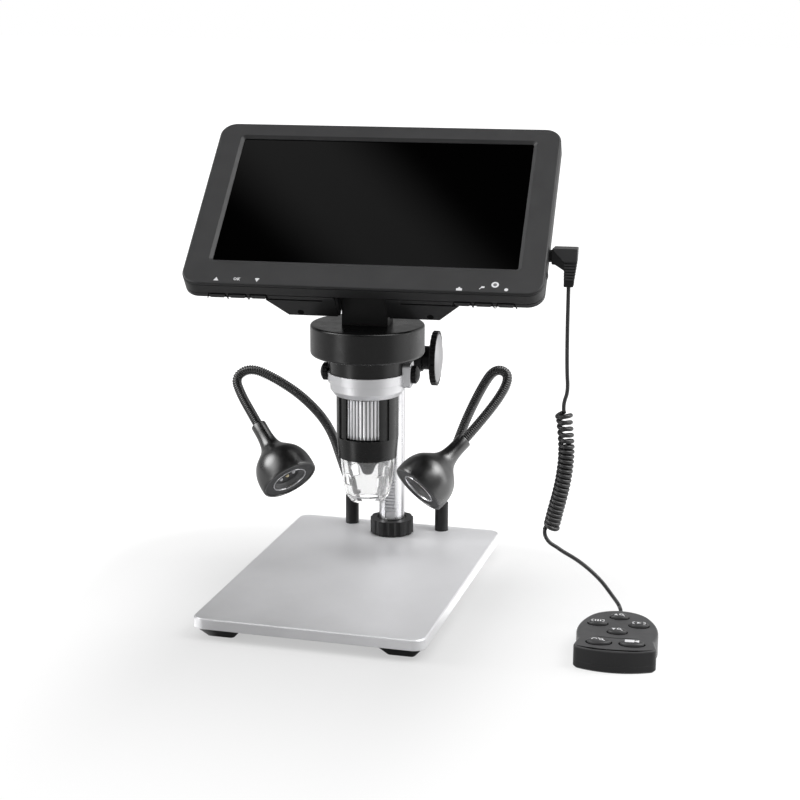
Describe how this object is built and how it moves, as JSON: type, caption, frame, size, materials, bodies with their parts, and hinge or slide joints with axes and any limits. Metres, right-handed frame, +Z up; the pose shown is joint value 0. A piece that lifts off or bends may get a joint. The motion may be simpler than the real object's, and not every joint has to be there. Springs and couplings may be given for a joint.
{
  "type": "digital microscope",
  "caption": "Desk-top digital microscope with a tilting screen over its camera head, a rack-and-pinion column on a flat stage, two gooseneck lamps and a wired remote.",
  "frame": {"origin": "centre of the stage plate's top face", "axes": "+Z up, the user sits on the -Y side, +X to the user's right; the arm and screen are swung 5.25 degrees about the column"},
  "size_m": [0.2571, 0.1756, 0.2384],
  "materials": {
    "satin_silver": "fine satin anodised",
    "bright_steel": "ground and polished",
    "black_metal": "satin black",
    "black_plastic": "fine satin",
    "gloss_black": "polished",
    "grey_plastic": "fine spark texture",
    "rubber_black": "matt",
    "clear_plastic": "clear polished",
    "screen_glass": "polished dark",
    "circuit_green": "solder mask",
    "battery_wrap": "foil",
    "white_plastic": "satin",
    "bush_plastic": "waxy"
  },
  "bodies": {
    "base": {"base_plate": "satin_silver", "rubber_feet": "rubber_black", "foot_screws": "bright_steel", "column_socket": "black_metal", "lamp_sockets": "black_metal", "remote_top": "black_plastic", "remote_bottom": "black_plastic", "cord_lower": "rubber_black"},
    "lock_ring": {"lock_ring": "black_metal"},
    "column": {"column_rod": "bright_steel", "focus_rack": "bright_steel"},
    "carriage": {"carriage_housing": "black_metal", "carriage_bushes": "bush_plastic", "holder_ring": "satin_silver", "arm_screws": "bright_steel", "cord_coil": "rubber_black"},
    "pinion": {"pinion_shaft": "bright_steel", "focus_knobs": "black_plastic", "knob_faces": "satin_silver"},
    "thumbscrew_left": {"thumbscrew_left": "black_plastic"},
    "thumbscrew_right": {"thumbscrew_right": "black_plastic"},
    "head": {"head_housing": "black_plastic", "sensor_board": "circuit_green", "screen_bracket": "black_plastic", "hinge_pin": "bright_steel", "barrel_shell": "gloss_black", "led_board": "white_plastic", "light_hood": "clear_plastic", "cord_upper_b": "rubber_black"},
    "focus_wheel": {"focus_wheel": "satin_silver"},
    "lens": {"lens_cell": "black_metal", "front_lens": "clear_plastic"},
    "screen": {"screen_bezel": "grey_plastic", "screen_rear": "grey_plastic", "screen_glass": "screen_glass", "lcd_panel": "gloss_black", "main_board": "circuit_green", "battery": "battery_wrap", "shell_screws": "bright_steel", "jack_plug": "rubber_black", "cord_upper_a": "rubber_black"},
    "side_dial": {"side_dial": "black_plastic"},
    "lamp_left_arm": {"lamp_left_neck": "black_metal"},
    "lamp_left_head": {"lamp_left_head": "black_metal", "lamp_left_lens": "gloss_black"},
    "lamp_right_arm": {"lamp_right_neck": "black_metal"},
    "lamp_right_head": {"lamp_right_head": "black_metal", "lamp_right_lens": "gloss_black"},
    "button_up": {"button_up": "grey_plastic"},
    "button_ok": {"button_ok": "grey_plastic"},
    "button_down": {"button_down": "grey_plastic"},
    "button_record": {"button_record": "grey_plastic"},
    "button_mode": {"button_mode": "grey_plastic"},
    "button_power": {"button_power": "grey_plastic"},
    "remote_up": {"remote_up": "black_plastic"},
    "remote_left": {"remote_left": "black_plastic"},
    "remote_right": {"remote_right": "black_plastic"},
    "remote_down": {"remote_down": "black_plastic"},
    "remote_zoom": {"remote_zoom": "black_plastic"},
    "remote_snap": {"remote_snap": "black_plastic"}
  },
  "joints": [
    {"name": "lock_ring_turn", "type": "hinge", "parent": "base", "child": "lock_ring", "pos_m": [0, 0.0703, 0.004], "axis": [0, 0, 1], "range_deg": [0, 90]},
    {"name": "column_swivel", "type": "hinge", "parent": "base", "child": "column", "pos_m": [0, 0.0703, 0], "axis": [0, 0, 1], "range_deg": [-15, 15], "deforming": ["cord_lower"]},
    {"name": "carriage_slide", "type": "slide", "parent": "column", "child": "carriage", "axis": [0, 0, 1], "range_m": [-0.03, 0.016], "deforming": ["cord_coil"]},
    {"name": "pinion_turn", "type": "hinge", "parent": "carriage", "child": "pinion", "pos_m": [0.00099, 0.0595, 0.1035], "axis": [0.9958, 0.0915, 0], "range_deg": [-195, 362]},
    {"name": "thumbscrew_right_turn", "type": "hinge", "parent": "carriage", "child": "thumbscrew_right", "pos_m": [0.03049, 0.0008, 0.1082], "axis": [0.9958, 0.0915, 0], "range_deg": [0, 360]},
    {"name": "thumbscrew_left_turn", "type": "hinge", "parent": "carriage", "child": "thumbscrew_left", "pos_m": [-0.01731, -0.00359, 0.1082], "axis": [-0.9958, -0.0915, 0], "range_deg": [0, 360]},
    {"name": "head_turn", "type": "hinge", "parent": "carriage", "child": "head", "pos_m": [0.00659, -0.0014, 0.1091], "axis": [0, 0, 1], "range_deg": [-15, 15], "deforming": ["cord_upper_b"]},
    {"name": "lens_slide", "type": "slide", "parent": "head", "child": "lens", "axis": [0, 0, 1], "range_m": [-0.002, 0.002]},
    {"name": "focus_wheel_turn", "type": "hinge", "parent": "head", "child": "focus_wheel", "pos_m": [0.00659, -0.0014, 0.086], "axis": [0, 0, 1], "range_deg": [-120, 120]},
    {"name": "screen_tilt", "type": "hinge", "parent": "head", "child": "screen", "pos_m": [0.00659, -0.0014, 0.1566], "axis": [0.9958, 0.0915, 0], "range_deg": [-25, 45], "deforming": ["cord_upper_a"]},
    {"name": "side_dial_turn", "type": "hinge", "parent": "screen", "child": "side_dial", "pos_m": [0.09477, -0.00158, 0.16294], "axis": [0.0571, -0.621, 0.7817], "range_deg": [-140, 140]},
    {"name": "button_up_press", "type": "slide", "parent": "screen", "child": "button_up", "axis": [-0.0715, 0.7785, 0.6236], "range_m": [0, 0.0006], "stiffness_N_per_m": 300},
    {"name": "button_ok_press", "type": "slide", "parent": "screen", "child": "button_ok", "axis": [-0.0715, 0.7785, 0.6236], "range_m": [0, 0.0006], "stiffness_N_per_m": 300},
    {"name": "button_down_press", "type": "slide", "parent": "screen", "child": "button_down", "axis": [-0.0715, 0.7785, 0.6236], "range_m": [0, 0.0006], "stiffness_N_per_m": 300},
    {"name": "button_record_press", "type": "slide", "parent": "screen", "child": "button_record", "axis": [-0.0715, 0.7785, 0.6236], "range_m": [0, 0.0006], "stiffness_N_per_m": 300},
    {"name": "button_mode_press", "type": "slide", "parent": "screen", "child": "button_mode", "axis": [-0.0715, 0.7785, 0.6236], "range_m": [0, 0.0006], "stiffness_N_per_m": 300},
    {"name": "button_power_press", "type": "slide", "parent": "screen", "child": "button_power", "axis": [-0.0715, 0.7785, 0.6236], "range_m": [0, 0.0006], "stiffness_N_per_m": 300},
    {"name": "remote_up_press", "type": "slide", "parent": "base", "child": "remote_up", "axis": [0, 0, -1], "range_m": [0, 0.0008], "stiffness_N_per_m": 300},
    {"name": "remote_left_press", "type": "slide", "parent": "base", "child": "remote_left", "axis": [0, 0, -1], "range_m": [0, 0.0008], "stiffness_N_per_m": 300},
    {"name": "remote_right_press", "type": "slide", "parent": "base", "child": "remote_right", "axis": [0, 0, -1], "range_m": [0, 0.0008], "stiffness_N_per_m": 300},
    {"name": "remote_down_press", "type": "slide", "parent": "base", "child": "remote_down", "axis": [0, 0, -1], "range_m": [0, 0.0008], "stiffness_N_per_m": 300},
    {"name": "remote_zoom_press", "type": "slide", "parent": "base", "child": "remote_zoom", "axis": [0, 0, -1], "range_m": [0, 0.0008], "stiffness_N_per_m": 300},
    {"name": "remote_snap_press", "type": "slide", "parent": "base", "child": "remote_snap", "axis": [0, 0, -1], "range_m": [0, 0.0008], "stiffness_N_per_m": 300},
    {"name": "lamp_left_swing", "type": "hinge", "parent": "base", "child": "lamp_left_arm", "pos_m": [-0.0263, 0.0805, 0.016], "axis": [0, 0, 1], "range_deg": [-35, 4]},
    {"name": "lamp_left_bend", "type": "hinge", "parent": "lamp_left_arm", "child": "lamp_left_head", "pos_m": [-0.07582, 0.04385, 0.07451], "axis": [0.5649, 0.8252, 0], "range_deg": [-15, 15], "deforming": ["lamp_left_neck"]},
    {"name": "lamp_right_swing", "type": "hinge", "parent": "base", "child": "lamp_right_arm", "pos_m": [0.0263, 0.0805, 0.016], "axis": [0, 0, 1], "range_deg": [-4, 35]},
    {"name": "lamp_right_bend", "type": "hinge", "parent": "lamp_right_arm", "child": "lamp_right_head", "pos_m": [0.05312, 0.0601, 0.07017], "axis": [0.7357, -0.6773, 0], "range_deg": [-15, 15], "deforming": ["lamp_right_neck"]}
  ],
  "couplings": [
    {"joint": "pinion_turn", "follows": "carriage_slide", "rad_per_m": -208.33},
    {"joint": "focus_wheel_turn", "follows": "lens_slide", "rad_per_m": 1046.3}
  ]
}
